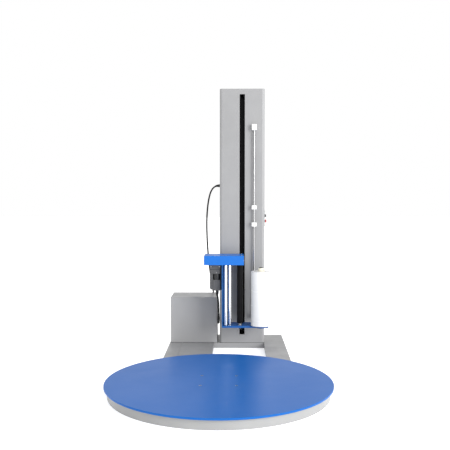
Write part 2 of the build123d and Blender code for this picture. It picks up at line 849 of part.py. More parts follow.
arm_front = floor_rear - arm_overlap
with BuildPart() as carriage_arm:
    with BuildSketch(Plane(origin=(arm_left, 0, 0), x_dir=(0, 1, 0), z_dir=(1, 0, 0))) as arm_profile:
        with BuildLine():
            Polyline(
                (arm_front, floor_top),
                (floor_rear, floor_top),
                (floor_rear, floor_top - floor_lip),
                (trolley_front, floor_top - floor_lip),
                (trolley_front, head_bottom),
                (arm_front, head_bottom),
                (arm_front, head_bottom - 30),
                (floor_rear, head_bottom - 110),
                (floor_rear, floor_top + 60),
                (arm_front, floor_top + arm_flange_thickness),
                close=True,
            )
        make_face()
    extrude(amount=arm_thickness)
    for z_span in (
        (floor_top, floor_top + arm_flange_thickness),
        (head_bottom - arm_flange_thickness, head_bottom),
    ):
        block(
            (arm_left - arm_flange_reach, arm_left + arm_thickness + arm_flange_reach),
            (arm_front, floor_rear),
            z_span,
        )
save(carriage_arm, "carriage_arm")

# ================================================================ film carriage
roller_places = {
    "front": (front_roller_x, front_roller_y),
    "rear": (rear_roller_x, rear_roller_y),
    "guide": (guide_roller_x, guide_roller_y),
}
bore = roller_shaft_diameter + 2 * running
head_plate_top = head_bottom + head_plate_thickness
with BuildPart() as head_plate:
    block(
        (head_left + head_wall, head_right - head_wall),
        (carriage_front + head_wall, head_rear - head_wall),
        (head_bottom, head_plate_top),
    )
    for x, y in roller_places.values():
        upright(x, y, (head_bottom, head_plate_top), bore, Mode.SUBTRACT)
    upright(
        carriage_motor_x,
        carriage_motor_y,
        (head_bottom, head_plate_top),
        2.5 * roller_shaft_diameter,
        Mode.SUBTRACT,
    )
save(head_plate, "head_plate")

with BuildPart() as head_cover:
    block((head_left, head_right), (carriage_front, head_rear), (head_bottom, head_top))
    fillet(head_cover.edges().filter_by(Axis.Z), 3)
    fillet(head_cover.faces().sort_by(Axis.Z)[-1].edges(), 2.5)
    block(
        (head_left + head_wall, head_right - head_wall),
        (carriage_front + head_wall, head_rear - head_wall),
        (head_bottom - 1, head_top - head_wall),
        Mode.SUBTRACT,
    )
save(head_cover, "head_cover")

with BuildPart() as floor_plate:
    with BuildSketch(Plane.XY.offset(floor_top - floor_lip)) as floor_outline:
        with Locations(((floor_left + floor_right) / 2, (carriage_front + floor_rear) / 2)):
            RectangleRounded(floor_right - floor_left, floor_rear - carriage_front, 3)
        with Locations((film_x, film_y)):
            Circle(spindle_lobe_radius)
    extrude(amount=floor_lip)
    with BuildSketch(Plane.XY.offset(floor_top - floor_lip)) as floor_hollow:
        with Locations(((floor_left + floor_right) / 2, (carriage_front + floor_rear) / 2)):
            RectangleRounded(
                floor_right - floor_left - 2 * floor_sheet,
                floor_rear - carriage_front - 2 * floor_sheet,
                2,
            )
        with Locations((film_x, film_y)):
            Circle(spindle_lobe_radius - floor_sheet)
    extrude(amount=floor_lip - floor_sheet, mode=Mode.SUBTRACT)
    for x, y in roller_places.values():
        upright(x, y, (floor_top - floor_sheet, floor_top), bore, Mode.SUBTRACT)
    upright(film_x, film_y, (floor_top - floor_sheet, floor_top), spindle_bore, Mode.SUBTRACT)
save(floor_plate, "floor_plate")

with BuildPart() as side_plate:
    block(
        (floor_left, floor_left + side_thickness),
        (carriage_front, floor_rear),
        (floor_top, head_bottom),
    )
    block(
        (floor_left, floor_left + side_fold),
        (floor_rear - side_thickness, floor_rear),
        (floor_top, head_bottom),
    )
    fillet(side_plate.edges().filter_by(Axis.Z).group_by(Axis.Y)[0], 1.5)
save(side_plate, "side_plate")

with BuildPart() as roller_bearings:
    for name, diameter, rise in (
        ("front", front_bearing_diameter, bearing_rise),
        ("rear", guide_bearing_diameter, bearing_rise),
        ("guide", guide_bearing_diameter, guide_bearing_rise),
    ):
        x, y = roller_places[name]
        upright(x, y, (floor_top, floor_top + rise), diameter)
        upright(x, y, (floor_top, floor_top + rise), bore, Mode.SUBTRACT)
save(roller_bearings, "roller_bearings")

gear_top = gear_bottom + gear_width
for name, diameter, shaft_top, bottom_gap in (
    ("front", front_roller_diameter, gear_top, bearing_rise + 1),
    ("rear", rear_roller_diameter, gear_top, bearing_rise + 1),
    ("guide", guide_roller_diameter, head_plate_top + bearing_rise, guide_bearing_rise + roller_end_gap),
):
    x, y = roller_places[name]
    with BuildPart() as roller:
        upright(x, y, (floor_top + bottom_gap, head_bottom - roller_end_gap), diameter)
        chamfer(roller.edges(), 1)
        upright(x, y, (floor_top - floor_sheet - shaft_overrun, shaft_top), roller_shaft_diameter)
    save(roller, name + "_roller")


def mesh_phase(own, other, own_teeth, other_teeth, other_phase):
    """Tooth phase of a gear whose gap takes the other gear's nearest tooth."""
    towards = degrees(atan2(own[1] - other[1], own[0] - other[0]))
    ahead = (other_phase - towards) % (360 / other_teeth)
    return towards + 180 - ahead * other_teeth / own_teeth + 180 / own_teeth


gear_span = (gear_bottom, gear_top)
motor_place = (carriage_motor_x, carriage_motor_y)
rear_phase = mesh_phase(roller_places["rear"], motor_place, rear_gear_teeth, motor_gear_teeth, 0)
front_phase = mesh_phase(
    roller_places["front"],
    roller_places["rear"],
    front_gear_teeth,
    rear_gear_teeth,
    rear_phase,
)
for name, teeth, phase in (
    ("rear", rear_gear_teeth, rear_phase),
    ("front", front_gear_teeth, front_phase),
):
    x, y = roller_places[name]
    with BuildPart() as roller_gear:
        toothed_disc(x, y, gear_span, gear_corners(teeth, phase))
        upright(x, y, gear_span, roller_shaft_diameter, Mode.SUBTRACT)
    save(roller_gear, name + "_roller_gear")

motor_shaft_span = (head_bottom - 29, gear_top)
with BuildPart() as motor_gear:
    toothed_disc(carriage_motor_x, carriage_motor_y, gear_span, gear_corners(motor_gear_teeth, 0))
    upright(carriage_motor_x, carriage_motor_y, motor_shaft_span, roller_shaft_diameter)
save(motor_gear, "motor_gear")

with BuildPart() as carriage_motor:
    block(
        (carriage_motor_x - motor_block_left, carriage_motor_x + motor_block_right),
        (carriage_motor_y - motor_depth / 2, carriage_motor_y + motor_depth / 2),
        (motor_block_bottom, head_bottom),
    )
    fillet(carriage_motor.edges().filter_by(Axis.Z), 5)
    upright(
        carriage_motor_x,
        carriage_motor_y,
        (motor_neck_bottom, motor_block_bottom),
        motor_neck_diameter,
    )
    with BuildSketch(Plane((carriage_motor_x, carriage_motor_y, motor_case_bottom))):
        RectangleRounded(motor_case_width, motor_case_width, motor_case_corner)
    extrude(amount=motor_neck_bottom - motor_case_bottom)
    chamfer(carriage_motor.faces().sort_by(Axis.Z)[0].edges(), 3)
    terminal_left = carriage_motor_x - motor_block_left
    with BuildSketch(Plane(origin=(0, carriage_motor_y, 0), x_dir=(1, 0, 0), z_dir=(0, -1, 0))):
        with BuildLine():
            Polyline(
                (terminal_left, motor_block_bottom),
                (terminal_left, terminal_box_bottom + terminal_box_width / 3),
                (terminal_left + terminal_box_width / 3, terminal_box_bottom),
                (terminal_left + terminal_box_width, terminal_box_bottom),
                (terminal_left + terminal_box_width, motor_block_bottom),
                close=True,
            )
        make_face()
    extrude(amount=terminal_box_depth / 2, both=True)
    upright(
        carriage_motor_x,
        carriage_motor_y,
        (motor_shaft_span[0] - 1, head_bottom),
        bore,
        Mode.SUBTRACT,
    )
save(carriage_motor, "carriage_motor")

with BuildPart() as film_spindle:
    upright(film_x, film_y, (floor_top, film_bottom), spindle_flange_diameter)
    upright(film_x, film_y, (film_bottom, film_top + spindle_rise), spindle_diameter)
    fillet(film_spindle.edges().filter_by(GeomType.CIRCLE).sort_by(Axis.Z)[-1], 3)
    upright(film_x, film_y, (floor_top, film_top + spindle_rise), spindle_bore, Mode.SUBTRACT)
save(film_spindle, "film_spindle")

with BuildPart() as film_core:
    upright(film_x, film_y, (film_bottom + 0.5, film_top + core_rise), core_diameter)
    upright(
        film_x,
        film_y,
        (film_bottom, film_top + core_rise),
        spindle_diameter + 2 * running,
        Mode.SUBTRACT,
    )
save(film_core, "film_core")

with BuildPart() as film_roll:
    upright(film_x, film_y, (film_bottom + 0.5, film_top), film_diameter)
    fillet(film_roll.edges(), 2)
    upright(film_x, film_y, (film_bottom, film_top), core_diameter, Mode.SUBTRACT)
save(film_roll, "film_roll")

# ================================================================ stop rod
rod_span = (stop_rod_x - bracket_width / 2, stop_rod_x + bracket_width / 2)
rod_front = stop_rod_y - bracket_reach
with BuildPart() as stop_rod:
    upright(stop_rod_x, stop_rod_y, (stop_rod_bottom + bracket_floor, stop_rod_top), stop_rod_diameter)
save(stop_rod, "stop_rod")

with BuildPart() as rod_brackets:
    for bottom, height in (
        (top_bracket_bottom, top_bracket_height),
        (stop_rod_bottom, low_bracket_height),
    ):
        block(rod_span, (rod_front, mast_front), (bottom, bottom + height))
    fillet(rod_brackets.edges().filter_by(Axis.Z), 2.5)
    upright(
        stop_rod_x,
        stop_rod_y,
        (stop_rod_bottom + bracket_floor, stop_rod_top),
        stop_rod_diameter,
        Mode.SUBTRACT,
    )
save(rod_brackets, "rod_brackets")

for name, bottom in (("upper_stop_clamp", upper_clamp_bottom), ("lower_stop_clamp", lower_clamp_bottom)):
    with BuildPart() as clamp:
        block(rod_span, (rod_front, mast_front - clamp_face_gap), (bottom, bottom + clamp_height))
        fillet(clamp.edges().filter_by(Axis.Z), 2.5)
        along_x(
            (rod_span[1] - 6, rod_span[1] + 3),
            stop_rod_y,
            bottom + clamp_height / 2,
            clamp_screw_diameter,
        )
        upright(
            stop_rod_x,
            stop_rod_y,
            (bottom, bottom + clamp_height),
            stop_rod_diameter + 2 * running,
            Mode.SUBTRACT,
        )
    save(clamp, name)

# ================================================================ controls
with BuildPart() as control_panel:
    block(
        (mast_right, control_face),
        (control_y - control_plate_width / 2, control_y + control_plate_width / 2),
        (control_plate_bottom, control_plate_top),
    )
    fillet(control_panel.edges().filter_by(Axis.X), 8)
    for height in (stop_button_height, selector_height):
        along_x((control_face, control_face + control_collar_rise), control_y, height, control_collar_diameter)
        along_x(
            (control_face - 2, control_face + control_collar_rise),
            control_y,
            height,
            control_stem_diameter + 2 * running,
            Mode.SUBTRACT,
        )
save(control_panel, "control_panel")

button_seat = control_face + control_collar_rise
head_seat = button_seat + stop_button_travel + 1
with BuildPart() as stop_button:
    along_x(
        (control_face + stop_button_travel - 1, head_seat),
        control_y,
        stop_button_height,
        control_stem_diameter,
    )
    along_x(
        (head_seat, head_seat + stop_button_head),
        control_y,
        stop_button_height,
        stop_button_diameter,
    )
    fillet(stop_button.edges().filter_by(GeomType.CIRCLE).group_by(Axis.X)[-1], 6)
save(stop_button, "stop_button")

with BuildPart() as selector_knob:
    along_x((control_face - 1, button_seat + 1), control_y, selector_height, control_stem_diameter)
    along_x((button_seat + free, button_seat + 3), control_y, selector_height, selector_diameter)
    block(
        (button_seat + 2, button_seat + 10),
        (control_y - 4, control_y + 4),
        (selector_height - 12, selector_height + 12),
    )
    fillet(selector_knob.faces().sort_by(Axis.X)[-1].edges(), 1.5)
save(selector_knob, "selector_knob")

# ================================================================ cable
with BuildPart() as mast_gland:
    along_x((mast_left - 8, mast_left), cable_gland_y, cable_gland_height, gland_diameter + 6)
    along_x((mast_left - gland_length, mast_left - 8), cable_gland_y, cable_gland_height, gland_diameter)
    fillet(mast_gland.edges().filter_by(GeomType.CIRCLE).group_by(Axis.X)[0], 5)
    along_x(
        (mast_left - gland_length - 1, mast_left - 6),
        cable_gland_y,
        cable_gland_height,
        cable_diameter,
        Mode.SUBTRACT,
    )
save(mast_gland, "mast_gland")

motor_gland_bottom = motor_case_bottom - motor_gland_length
motor_gland_x = carriage_motor_x + motor_gland_offset
cable_top = motor_case_bottom - 6
with BuildPart() as motor_gland:
    upright(motor_gland_x, carriage_motor_y, (motor_gland_bottom, motor_case_bottom), gland_diameter)
    fillet(motor_gland.edges().filter_by(GeomType.CIRCLE).group_by(Axis.Z)[0], 4)
    upright(
        motor_gland_x,
        carriage_motor_y,
        (motor_gland_bottom - 1, cable_top),
        cable_diameter,
        Mode.SUBTRACT,
    )
save(motor_gland, "motor_gland")

gap_x = (box_right + mast_left) / 2
cable_route = [
    (mast_left - 6, cable_gland_y, cable_gland_height),
    (-62, cable_gland_y, cable_gland_height),
    (-94, 1770, 1522),
    (-117, 1771, 1486),
    (-133, 1772, 1432),
    (-146, 1772, 1358),
    (-155, 1771, 1262),
    (-158, 1770, 1150),
    (-154, 1771, 1020),
    (-146, 1772, 880),
    (-130, 1771, 730),
    (-112, 1771, 600),
    (-92, 1772, 480),
    (-68, 1773, 370),
    (gap_x - 4, 1768, 285),
    (gap_x, 1712, 231),
    (gap_x, 1612, 210),
    (gap_x, 1470, 224),
    (gap_x, 1380, 252),
    (-29.5, 1312, 302),
    (-27, 1262, 362),
    (-27.5, 1222, 430),
    (motor_gland_x + 8.5, carriage_motor_y + 13, 495),
    (motor_gland_x, carriage_motor_y, cable_top - 35),
    (motor_gland_x, carriage_motor_y, cable_top),
]


def corner_radii(points):
    """For each inner point the largest arc that its two runs allow."""
    radii = []
    for before, here, after in zip(points, points[1:], points[2:]):
        first = Vector(*here) - Vector(*before)
        second = Vector(*after) - Vector(*here)
        turn = radians(first.get_angle(second))
        shorter = min(first.length, second.length)
        radii.append(0.45 * shorter / tan(turn / 2))
    return radii


cable_radii = corner_radii(cable_route)
print("cable radii", [round(radius) for radius in cable_radii])
with BuildPart() as festoon_cable:
    with BuildLine() as cable_path:
        FilletPolyline(*cable_route, radius=cable_radii)
    with BuildSketch(Plane(origin=cable_path.line @ 0, z_dir=cable_path.line % 0)) as cable_section:
        Circle(cable_diameter / 2)
    sweep(path=cable_path.line)
save(festoon_cable, "festoon_cable")
cable_length = sum(edge.length for edge in cable_path.line.edges())
cable_section_area = pi * cable_diameter**2 / 4
print("cable length", round(cable_length))
print("cable volume share", festoon_cable.part.volume / cable_section_area / cable_length)
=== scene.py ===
import math

import bmesh
import bpy
from bpy.props import FloatProperty, FloatVectorProperty, IntProperty, PointerProperty
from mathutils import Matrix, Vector


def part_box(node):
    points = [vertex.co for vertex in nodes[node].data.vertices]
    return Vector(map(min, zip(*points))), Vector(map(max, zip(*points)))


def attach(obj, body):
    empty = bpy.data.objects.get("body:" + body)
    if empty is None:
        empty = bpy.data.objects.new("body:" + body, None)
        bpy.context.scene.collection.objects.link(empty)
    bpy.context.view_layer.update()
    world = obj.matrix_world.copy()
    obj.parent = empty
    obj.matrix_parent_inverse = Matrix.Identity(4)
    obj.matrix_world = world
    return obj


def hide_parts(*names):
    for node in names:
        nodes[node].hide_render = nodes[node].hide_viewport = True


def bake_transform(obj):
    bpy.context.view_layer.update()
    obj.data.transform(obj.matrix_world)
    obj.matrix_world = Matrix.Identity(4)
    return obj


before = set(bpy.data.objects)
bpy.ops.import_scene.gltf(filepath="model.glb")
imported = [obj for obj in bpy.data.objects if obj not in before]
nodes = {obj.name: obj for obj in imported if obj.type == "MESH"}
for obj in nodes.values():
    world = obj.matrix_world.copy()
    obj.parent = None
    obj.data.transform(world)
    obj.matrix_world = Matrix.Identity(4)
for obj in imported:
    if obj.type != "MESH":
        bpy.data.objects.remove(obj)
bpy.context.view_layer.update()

bl_info = {
    "name": "Turntable pallet wrapper",
    "version": (1, 0, 0),
    "blender": (4, 5, 0),
    "location": "View3D > Sidebar > Wrapper",
    "description": "Finishes, details and studio for a turntable pallet wrapping machine",
    "category": "Object",
}


# ---------------------------------------------------------------- what a user would change
class WrapperColours(bpy.types.PropertyGroup):
    """Paints and plastics, in linear light."""

    table_blue: FloatVectorProperty(
        name="Turntable blue",
        description="Enamel on the turntable's plate",
        subtype="COLOR",
        default=(0.005, 0.103, 0.385),
    )
    carriage_blue: FloatVectorProperty(
        name="Carriage blue",
        description="Powder coat on the film carriage",
        subtype="COLOR",
        default=(0.004, 0.135, 0.520),
    )
    # Painted shade: the carriage blue made darker for the floor plate, which lies in the head's shadow.
    shaded_floor_blue: FloatVectorProperty(
        name="Carriage shaded floor blue",
        description="Powder coat on the carriage's floor plate",
        subtype="COLOR",
        default=(0.012, 0.090, 0.310),
    )
    side_blue: FloatVectorProperty(
        name="Carriage side blue",
        description="Powder coat on the carriage's side plate",
        subtype="COLOR",
        default=(0.022, 0.145, 0.440),
    )
    frame_grey: FloatVectorProperty(
        name="Frame grey",
        description="Powder coat on the mast, legs, base plate and control panel",
        subtype="COLOR",
        default=(0.270, 0.270, 0.274),
    )
    # Painted light: the frame's grey, made lighter for the drive box alone to brighten its shaded front.
    lit_box_grey: FloatVectorProperty(
        name="Drive lit box grey",
        description="Powder coat on the drive box",
        subtype="COLOR",
        default=(0.310, 0.310, 0.315),
    )
    skirt_grey: FloatVectorProperty(
        name="Skirt grey",
        description="Powder coat on the turntable's skirt",
        subtype="COLOR",
        default=(0.315, 0.315, 0.310),
    )
    motor_grey: FloatVectorProperty(
        name="Motor grey",
        description="Paint on the gearmotors",
        subtype="COLOR",
        default=(0.075, 0.075, 0.078),
    )
    sheath_black: FloatVectorProperty(
        name="Cable sheath",
        description="Rubber of the hanging cable",
        subtype="COLOR",
        default=(0.004, 0.004, 0.0045),
    )
    film_white: FloatVectorProperty(
        name="Stretch film",
        description="White film wound on the roll",
        subtype="COLOR",
        default=(0.74, 0.74, 0.73),
    )


class WrapperSizes(bpy.types.PropertyGroup):
    """Sizes of the cable, the film's layers and the seams."""

    cable_diameter: FloatProperty(
        name="Cable diameter",
        description="Outside diameter of the hanging cable",
        subtype="DISTANCE",
        unit="LENGTH",
        default=0.015,
        min=0.008,
        max=0.03,
    )
    cable_length: FloatProperty(
        name="Cable length",
        description="Length of the hanging cable from gland to gland",
        subtype="DISTANCE",
        unit="LENGTH",
        default=2.132,
    )
    film_turns: IntProperty(
        name="Film layers",
        description="Ridges that show on the ends of the film roll",
        default=14,
        min=4,
        max=40,
    )
    seam_width: FloatProperty(
        name="Seam width",
        description="Width of the sealed joints in the floor frame",
        subtype="DISTANCE",
        unit="LENGTH",
        default=0.0015,
    )


class WrapperStudio(bpy.types.PropertyGroup):
    """Floor, lights and camera."""

    sky_strength: FloatProperty(
        name="Surround",
        description="Brightness of the white surround",
        default=1.0,
        min=0.0,
    )
    key_power: FloatProperty(
        name="Key light",
        description="Power of the large soft light at the front right",
        subtype="POWER",
        default=990.0,
        min=0.0,
    )
    floor_glow: FloatProperty(
        name="Floor glow",
        description="Light that the floor gives off, so that it fades into the surround",
        default=0.5,
        min=0.0,
    )
    floor_tone: FloatProperty(
        name="Floor tone",
        description="Lightness of the plain floor",
        subtype="FACTOR",
        default=0.93,
        min=0.0,
        max=1.0,
    )


# ---------------------------------------------------------------- finishes
class Finish:
    """A surface finish being made: a shader, and the patterns that feed it."""

    def __init__(self, name, colour, roughness, metallic=0.0):
        self.material = bpy.data.materials.new(name)
        self.material.use_nodes = True
        tree = self.material.node_tree
        self.nodes = tree.nodes
        self.links = tree.links
        self.shader = tree.nodes["Principled BSDF"]
        self.colour = tuple(colour)
        self.set("Base Color", (*colour, 1.0))
        self.set("Roughness", roughness)
        self.set("Metallic", metallic)
        self.place = self.nodes.new("ShaderNodeTexCoord").outputs["Object"]
        self.height = None

    def set(self, socket, value):
        """A value that is the same all over the surface."""
        self.shader.inputs[socket].default_value = value

    def node(self, kind, settings, inputs):
        """A node with its settings and its inputs, which are values or other nodes' outputs."""
        made = self.nodes.new("ShaderNode" + kind)
        for key, value in settings.items():
            setattr(made, key, value)
        for socket, value in inputs.items():
            if isinstance(value, bpy.types.NodeSocket):
                self.links.new(value, made.inputs[socket])
            else:
                made.inputs[socket].default_value = value
        return made

    def stretch(self, x, y, z):
        """Object coordinates with each axis scaled."""
        return self.node("Mapping", {}, {"Vector": self.place, "Scale": (x, y, z)}).outputs[0]

    def noise(self, scale, detail, place=None):
        """Cloudy pattern, from 0 to 1."""
        inputs = {"Vector": place or self.place, "Scale": scale, "Detail": detail}
        return self.node("TexNoise", {}, inputs).outputs[0]

    def waves(self, scale, axis):
        """Parallel bands across an axis, from 0 to 1."""
        settings = {"wave_type": "BANDS", "bands_direction": axis}
        inputs = {"Vector": self.place, "Scale": scale, "Distortion": 0.0}
        return self.node("TexWave", settings, inputs).outputs[1]

    def spread(self, value, low, high):
        """The middle of a pattern's range mapped to new numbers."""
        start, end = 0.35, 0.65
        inputs = {0: value, 1: start, 2: end, 3: low, 4: high}
        return self.node("MapRange", {}, inputs).outputs[0]

    def tint(self, value, shade):
        """Base colour goes from the finish's own to a shaded one with the pattern."""
        other = tuple(min(1.0, c * shade) for c in self.colour)
        inputs = {0: self.spread(value, 0.0, 1.0), 6: (*self.colour, 1.0), 7: (*other, 1.0)}
        mixed = self.node("Mix", {"data_type": "RGBA"}, inputs)
        self.links.new(mixed.outputs[2], self.shader.inputs["Base Color"])

    def rough(self, value, low, high):
        """Roughness follows the pattern."""
        self.links.new(self.spread(value, low, high), self.shader.inputs["Roughness"])

    def bump(self, height, depth, strength):
        """Relief from a pattern, on top of any earlier relief."""
        inputs = {"Height": height, "Distance": depth, "Strength": strength}
        if self.height is not None:
            inputs["Normal"] = self.height
        self.height = self.node("Bump", {}, inputs).outputs[0]

    def done(self):
        """Ends the finish and gives its material."""
        if self.height is not None:
            self.links.new(self.height, self.shader.inputs["Normal"])
        return self.material


finishes = {}


def finish(make):
    """The finish that a maker gives, made once and named after the maker."""
    name = make.__name__.replace("_", " ")
    if name not in finishes:
        finishes[name] = make(name)
    return finishes[name]


def colours():
    """The colours that a user may change."""
    return bpy.context.scene.wrapper_colours


def table_blue_enamel(name):
    """Blue enamel, worn to a soft gloss, with a faint orange peel."""
    made = Finish(name, colours().table_blue, 0.34)
    made.set("Specular IOR Level", 0.17)
    made.tint(made.noise(2.3, 3.0), 0.97)
    made.rough(made.noise(5.0, 4.0), 0.33, 0.36)
    made.bump(made.noise(420.0, 2.0), 0.0004, 0.10)
    return made.done()


def powder_coat(name, colour, roughness=0.38, gloss=0.45):
    """Powder coat: slightly uneven colour, orange peel, soft gloss."""
    peel = 520.0
    made = Finish(name, colour, roughness)
    made.set("Specular IOR Level", gloss)
    made.tint(made.noise(4.0, 4.0), 0.94)
    made.rough(made.noise(9.0, 5.0), roughness - 0.05, roughness + 0.07)
    made.bump(made.noise(peel, 2.0), 0.0004, 0.16)
    made.bump(made.noise(peel / 30, 1.0), 0.0008, 0.05)
    return made.done()


def frame_grey_powder_coat(name):
    """Paint of the mast, legs, base plate and control panel."""
    return powder_coat(name, colours().frame_grey)


def lit_box_grey_powder_coat(name):
    """Frame grey made lighter for the drive box alone: painted light on its shaded front."""
    return powder_coat(name, colours().lit_box_grey)


def skirt_grey_powder_coat(name):
    """Paint of the turntable's skirt."""
    return powder_coat(name, colours().skirt_grey)


def carriage_blue_powder_coat(name):
    """Paint of the carriage's head."""
    return powder_coat(name, colours().carriage_blue, 0.36, 0.3)


def carriage_floor_shaded_powder_coat(name):
    """Carriage blue made darker for the floor plate: painted shade from the head above it."""
    return powder_coat(name, colours().shaded_floor_blue, 0.4, 0.3)


def carriage_side_powder_coat(name):
    """Paint of the carriage's side plate."""
    return powder_coat(name, colours().side_blue, 0.4, 0.35)


def black_powder_coat(name):
    """Paint of the trolley, its arm, the idler and the black pad beside the motor, which is painted shade."""
    return powder_coat(name, (0.008, 0.008, 0.009), 0.46, 0.25)


def bare_steel(name):
    """Machined steel with turning marks and a little oil."""
    made = Finish(name, (0.55, 0.55, 0.56), 0.32, 1.0)
    marks = made.noise(60.0, 5.0, made.stretch(1.0, 1.0, 14.0))
    made.tint(marks, 0.72)
    made.rough(made.noise(35.0, 4.0), 0.24, 0.46)
    made.bump(marks, 0.0002, 0.12)
    return made.done()


def zinc_steel(name):
    """Zinc-plated screws, brackets, bearings and motor gear."""
    made = Finish(name, (0.40, 0.40, 0.39), 0.38, 1.0)
    made.tint(made.noise(140.0, 3.0), 0.8)
    made.rough(made.noise(90.0, 3.0), 0.30, 0.48)
    made.bump(made.noise(900.0, 1.0), 0.0001, 0.15)
    return made.done()


def chrome(name):
    """Polished hard chrome on the film rollers."""
    made = Finish(name, (0.86, 0.87, 0.89), 0.08, 1.0)
    hairlines = made.noise(10.0, 6.0, made.stretch(40.0, 40.0, 1.0))
    made.rough(hairlines, 0.05, 0.13)
    made.bump(hairlines, 0.00005, 0.06)
    return made.done()


def ground_steel(name):
    """Ground steel of the stop rod, duller than the rollers."""
    made = Finish(name, (0.34, 0.34, 0.345), 0.26, 1.0)
    marks = made.noise(300.0, 3.0, made.stretch(1.0, 1.0, 6.0))
    made.tint(marks, 0.96)
    made.rough(marks, 0.24, 0.29)
    made.bump(marks, 0.00003, 0.05)
    return made.done()


def ground_rubber(name):
    """Ground black rubber of the guide roller."""
    made = Finish(name, (0.0035, 0.0035, 0.0038), 0.55)
    made.set("Specular IOR Level", 0.08)
    grind = made.noise(26.0, 4.0, made.stretch(1.0, 1.0, 24.0))
    made.tint(made.noise(30.0, 4.0), 1.7)
    made.rough(grind, 0.40, 0.60)
    made.bump(grind, 0.0003, 0.2)
    return made.done()


def belt_fabric(name):
    """Woven black lifting belt."""
    made = Finish(name, (0.0025, 0.0025, 0.0028), 0.65)
    made.set("Specular IOR Level", 0.06)
    weave = made.waves(420.0, "Z")
    rows = made.waves(420.0, "X")
    made.tint(made.noise(160.0, 3.0), 1.8)
    made.rough(made.noise(60.0, 3.0), 0.52, 0.72)
    made.bump(weave, 0.0004, 0.35)
    made.bump(rows, 0.0004, 0.25)
    return made.done()


def cable_sheath(name):
    """Matt rubber sheath of the cable."""
    made = Finish(name, colours().sheath_black, 0.5)
    made.set("Specular IOR Level", 0.15)
    made.tint(made.noise(40.0, 4.0), 1.7)
    made.rough(made.noise(70.0, 4.0), 0.40, 0.58)
    made.bump(made.noise(1300.0, 2.0), 0.0003, 0.2)
    return made.done()


def black_plastic(name):
    """Moulded black plastic with a spark-eroded grain."""
    made = Finish(name, (0.010, 0.010, 0.011), 0.45)
    made.tint(made.noise(50.0, 3.0), 1.4)
    made.rough(made.noise(110.0, 3.0), 0.34, 0.5)
    made.bump(made.noise(1500.0, 1.0), 0.0003, 0.22)
    return made.done()


def red_plastic(name):
    """Glossy moulded red of the stop button."""
    made = Finish(name, (0.52, 0.012, 0.010), 0.28)
    made.set("Coat Weight", 0.3)
    made.tint(made.noise(90.0, 2.0), 0.85)
    made.rough(made.noise(160.0, 3.0), 0.22, 0.36)
    made.bump(made.noise(900.0, 1.0), 0.0002, 0.08)
    return made.done()


def white_plastic(name):
    """Machined white acetal of the rod's blocks and clamps."""
    made = Finish(name, (0.80, 0.80, 0.79), 0.38)
    made.set("Subsurface Weight", 0.08)
    made.set("Subsurface Radius", (0.002, 0.002, 0.002))
    tool = made.noise(70.0, 4.0, made.stretch(1.0, 1.0, 12.0))
    made.tint(tool, 0.95)
    made.rough(tool, 0.32, 0.46)
    made.bump(tool, 0.0002, 0.12)
    return made.done()


def cream_nylon(name):
    """Cream nylon of the film spindle."""
    made = Finish(name, (0.78, 0.76, 0.64), 0.42)
    made.set("Subsurface Weight", 0.08)
    made.set("Subsurface Radius", (0.003, 0.003, 0.002))
    made.tint(made.noise(45.0, 3.0), 0.93)
    made.rough(made.noise(80.0, 3.0), 0.35, 0.5)
    made.bump(made.noise(600.0, 2.0), 0.0003, 0.1)
    return made.done()


def card_tube(name):
    """Spiral-wound pale card tube inside the film."""
    made = Finish(name, (0.66, 0.62, 0.52), 0.85)
    made.tint(made.noise(350.0, 5.0), 0.88)
    made.rough(made.noise(200.0, 3.0), 0.78, 0.92)
    made.bump(made.waves(22.0, "DIAGONAL"), 0.0006, 0.25)
    made.bump(made.noise(900.0, 2.0), 0.0004, 0.3)
    return made.done()


def stretch_film(name):
    """White stretch film: tight glossy layers with faint bands round the roll."""
    made = Finish(name, colours().film_white, 0.24)
    made.set("Specular IOR Level", 0.5)
    made.set("Coat Weight", 0.2)
    made.set("Coat Roughness", 0.16)
    bands = made.noise(3.0, 5.0, made.stretch(0.6, 0.6, 26.0))
    creases = made.noise(9.0, 4.0, made.stretch(1.0, 1.0, 5.0))
    made.tint(bands, 0.985)
    made.rough(creases, 0.20, 0.28)
    made.bump(bands, 0.0003, 0.06)
    made.bump(creases, 0.0012, 0.06)
    return made.done()


def nylon(name):
    """Off-white cast nylon of the support wheels and the rollers' gears."""
    made = Finish(name, (0.62, 0.60, 0.54), 0.45)
    made.tint(made.noise(60.0, 4.0), 0.82)
    made.rough(made.noise(90.0, 3.0), 0.38, 0.55)
    made.bump(made.noise(400.0, 2.0), 0.0003, 0.15)
    return made.done()


def cast_grey_paint(name):
    """Grey paint over the castings of the gearmotors."""
    made = Finish(name, colours().motor_grey, 0.46)
    made.tint(made.noise(25.0, 4.0), 0.82)
    made.rough(made.noise(40.0, 4.0), 0.38, 0.56)
    made.bump(made.noise(380.0, 3.0), 0.0008, 0.25)
    return made.done()


def sealant_and_contact_shade(name):
    """Dark sealant in the joints, also used as painted contact shade at the feet of the mast and the drive
    box.
    """
    made = Finish(name, (0.030, 0.030, 0.031), 0.7)
    made.tint(made.noise(300.0, 3.0), 1.5)
    made.rough(made.noise(200.0, 2.0), 0.6, 0.8)
    made.bump(made.noise(700.0, 2.0), 0.0003, 0.3)
    return made.done()


def studio_floor(name):
    """Plain pale studio floor, matt, which gives off a little light."""
    tone = bpy.context.scene.wrapper_studio.floor_tone
    made = Finish(name, (tone, tone, tone), 0.9)
    made.set("Specular IOR Level", 0.1)
    made.set("Emission Color", (1.0, 1.0, 1.0, 1.0))
    made.set("Emission Strength", bpy.context.scene.wrapper_studio.floor_glow)
    made.bump(made.noise(60.0, 2.0), 0.0003, 0.05)
    return made.done()


